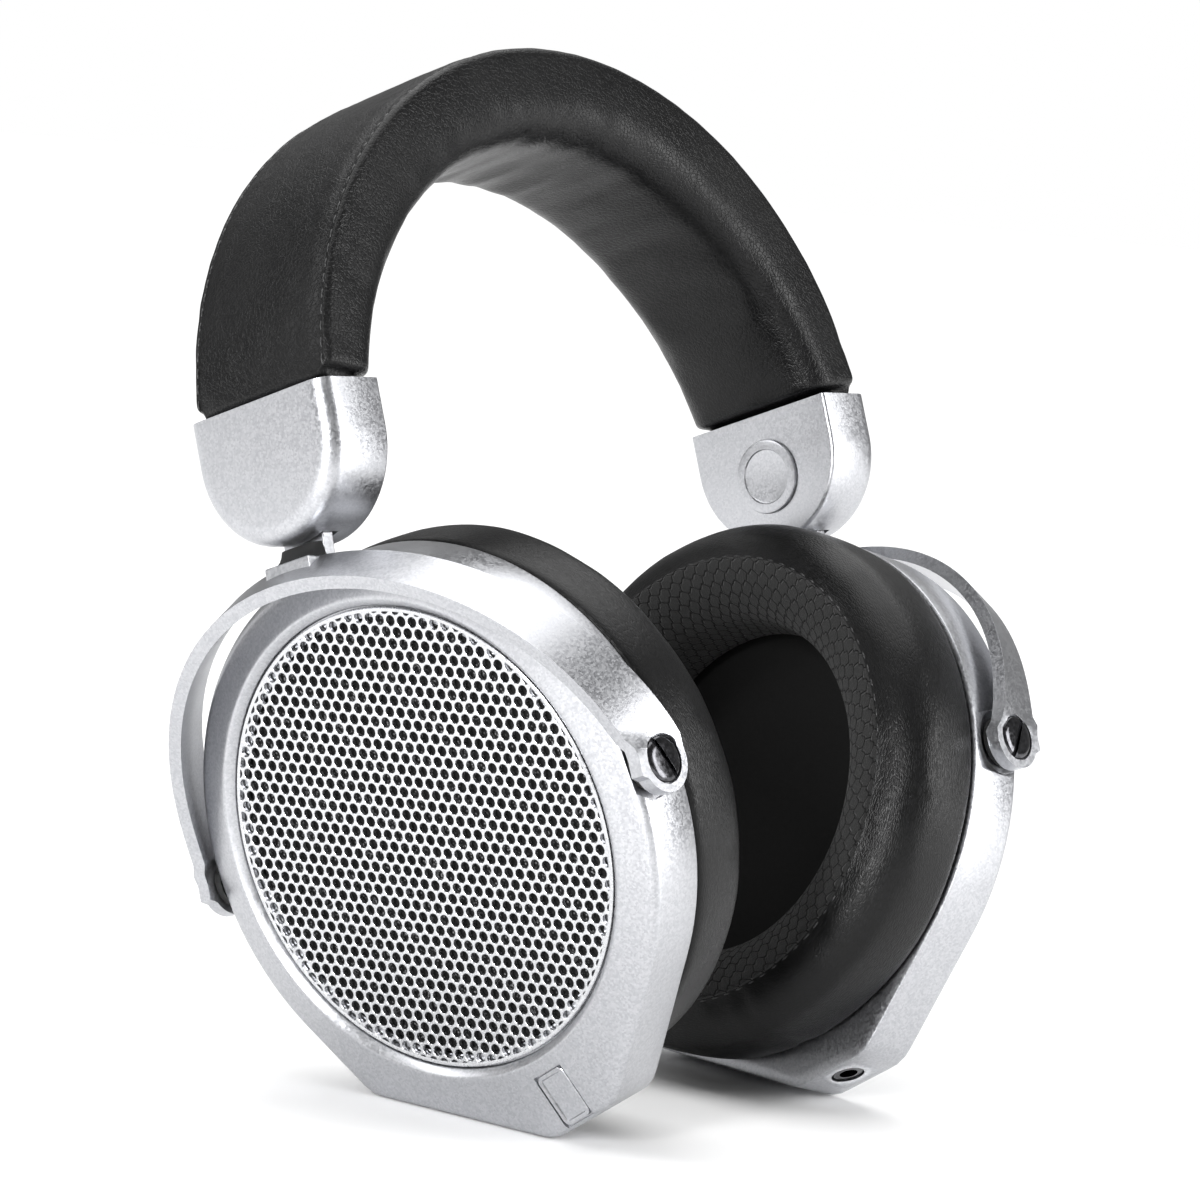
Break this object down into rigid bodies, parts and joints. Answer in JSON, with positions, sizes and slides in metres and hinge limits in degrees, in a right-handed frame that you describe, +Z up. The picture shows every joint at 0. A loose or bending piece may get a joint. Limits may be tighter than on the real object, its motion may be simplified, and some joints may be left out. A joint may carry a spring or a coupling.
{
  "type": "over-ear headphones",
  "caption": "Over-ear headphones with open round cups behind perforated grilles, tilting yokes and a sliding padded leather headband, standing on the cups.",
  "frame": {"origin": "middle of the bounding box at its lowest point, on the ground the cups stand on", "axes": "+Z up from the ground, +X to the wearer's left ear, -Y to the wearer's front; the headband leans back to +Y and the cups' lower ends turn in"},
  "size_m": [0.1618, 0.1218, 0.1926],
  "materials": {
    "satin_silver": "satin metallic lacquer on cast metal",
    "bright_silver": "smooth silver",
    "steel": "plated steel",
    "dark_steel": "black lacquered steel and magnets",
    "black_leather": "smooth grained synthetic leather",
    "black_fabric": "matte knit",
    "black_plastic": "moulded matte",
    "black_rubber": "matte",
    "grey_foam": "open-cell foam",
    "silver_film": "film with a metal trace"
  },
  "bodies": {
    "headband": {"cap_screw_left": "steel", "cap_screw_right": "steel", "crossover_lead": "black_rubber", "detent_leaf_left": "steel", "detent_leaf_right": "steel", "end_cap_left": "satin_silver", "end_cap_right": "satin_silver", "headband_cover": "black_leather", "headband_foam": "grey_foam", "side_mark_left": "satin_silver", "side_mark_right": "satin_silver", "slider_guide_left": "black_plastic", "slider_guide_right": "black_plastic", "spring_strip": "steel"},
    "yoke_left": {"pivot_bush_front_left": "black_plastic", "pivot_bush_rear_left": "black_plastic", "slider_buffer_left": "black_rubber", "stop_pin_left": "steel", "yoke_left": "satin_silver"},
    "yoke_right": {"pivot_bush_front_right": "black_plastic", "pivot_bush_rear_right": "black_plastic", "slider_buffer_right": "black_rubber", "stop_pin_right": "steel", "yoke_right": "satin_silver"},
    "cup_left": {"badge_left": "bright_silver", "baffle_left": "black_plastic", "baffle_screw_1_left": "steel", "baffle_screw_2_left": "steel", "diaphragm_left": "silver_film", "ear_housing_left": "satin_silver", "grille_cloth_left": "black_fabric", "grille_left": "bright_silver", "inner_cloth_left": "black_fabric", "inner_stator_left": "dark_steel", "jack_socket": "steel", "outer_stator_left": "dark_steel", "pad_cover_left": "black_leather", "pad_face_left": "black_fabric", "pad_foam_left": "grey_foam", "pad_ring_left": "black_plastic", "pivot_screw_front_left": "steel", "pivot_screw_rear_left": "steel"},
    "cup_right": {"badge_right": "bright_silver", "baffle_right": "black_plastic", "baffle_screw_1_right": "steel", "baffle_screw_2_right": "steel", "diaphragm_right": "silver_film", "ear_housing_right": "satin_silver", "grille_cloth_right": "black_fabric", "grille_right": "bright_silver", "inner_cloth_right": "black_fabric", "inner_stator_right": "dark_steel", "outer_stator_right": "dark_steel", "pad_cover_right": "black_leather", "pad_face_right": "black_fabric", "pad_foam_right": "grey_foam", "pad_ring_right": "black_plastic", "pivot_screw_front_right": "steel", "pivot_screw_rear_right": "steel"}
  },
  "joints": [
    {"name": "slider_left", "type": "slide", "parent": "headband", "child": "yoke_left", "axis": [0.0785, -0.3637, -0.9282], "range_m": [0, 0.025]},
    {"name": "cup_tilt_left", "type": "hinge", "parent": "yoke_left", "child": "cup_left", "pos_m": [0.05117, -0.00741, 0.05282], "axis": [0, 0.9311, -0.3649], "range_deg": [-28, 1]},
    {"name": "slider_right", "type": "slide", "parent": "headband", "child": "yoke_right", "axis": [-0.0785, -0.3637, -0.9282], "range_m": [0, 0.025]},
    {"name": "cup_tilt_right", "type": "hinge", "parent": "yoke_right", "child": "cup_right", "pos_m": [-0.05117, -0.00741, 0.05282], "axis": [0, -0.9311, 0.3649], "range_deg": [-28, 1]}
  ]
}
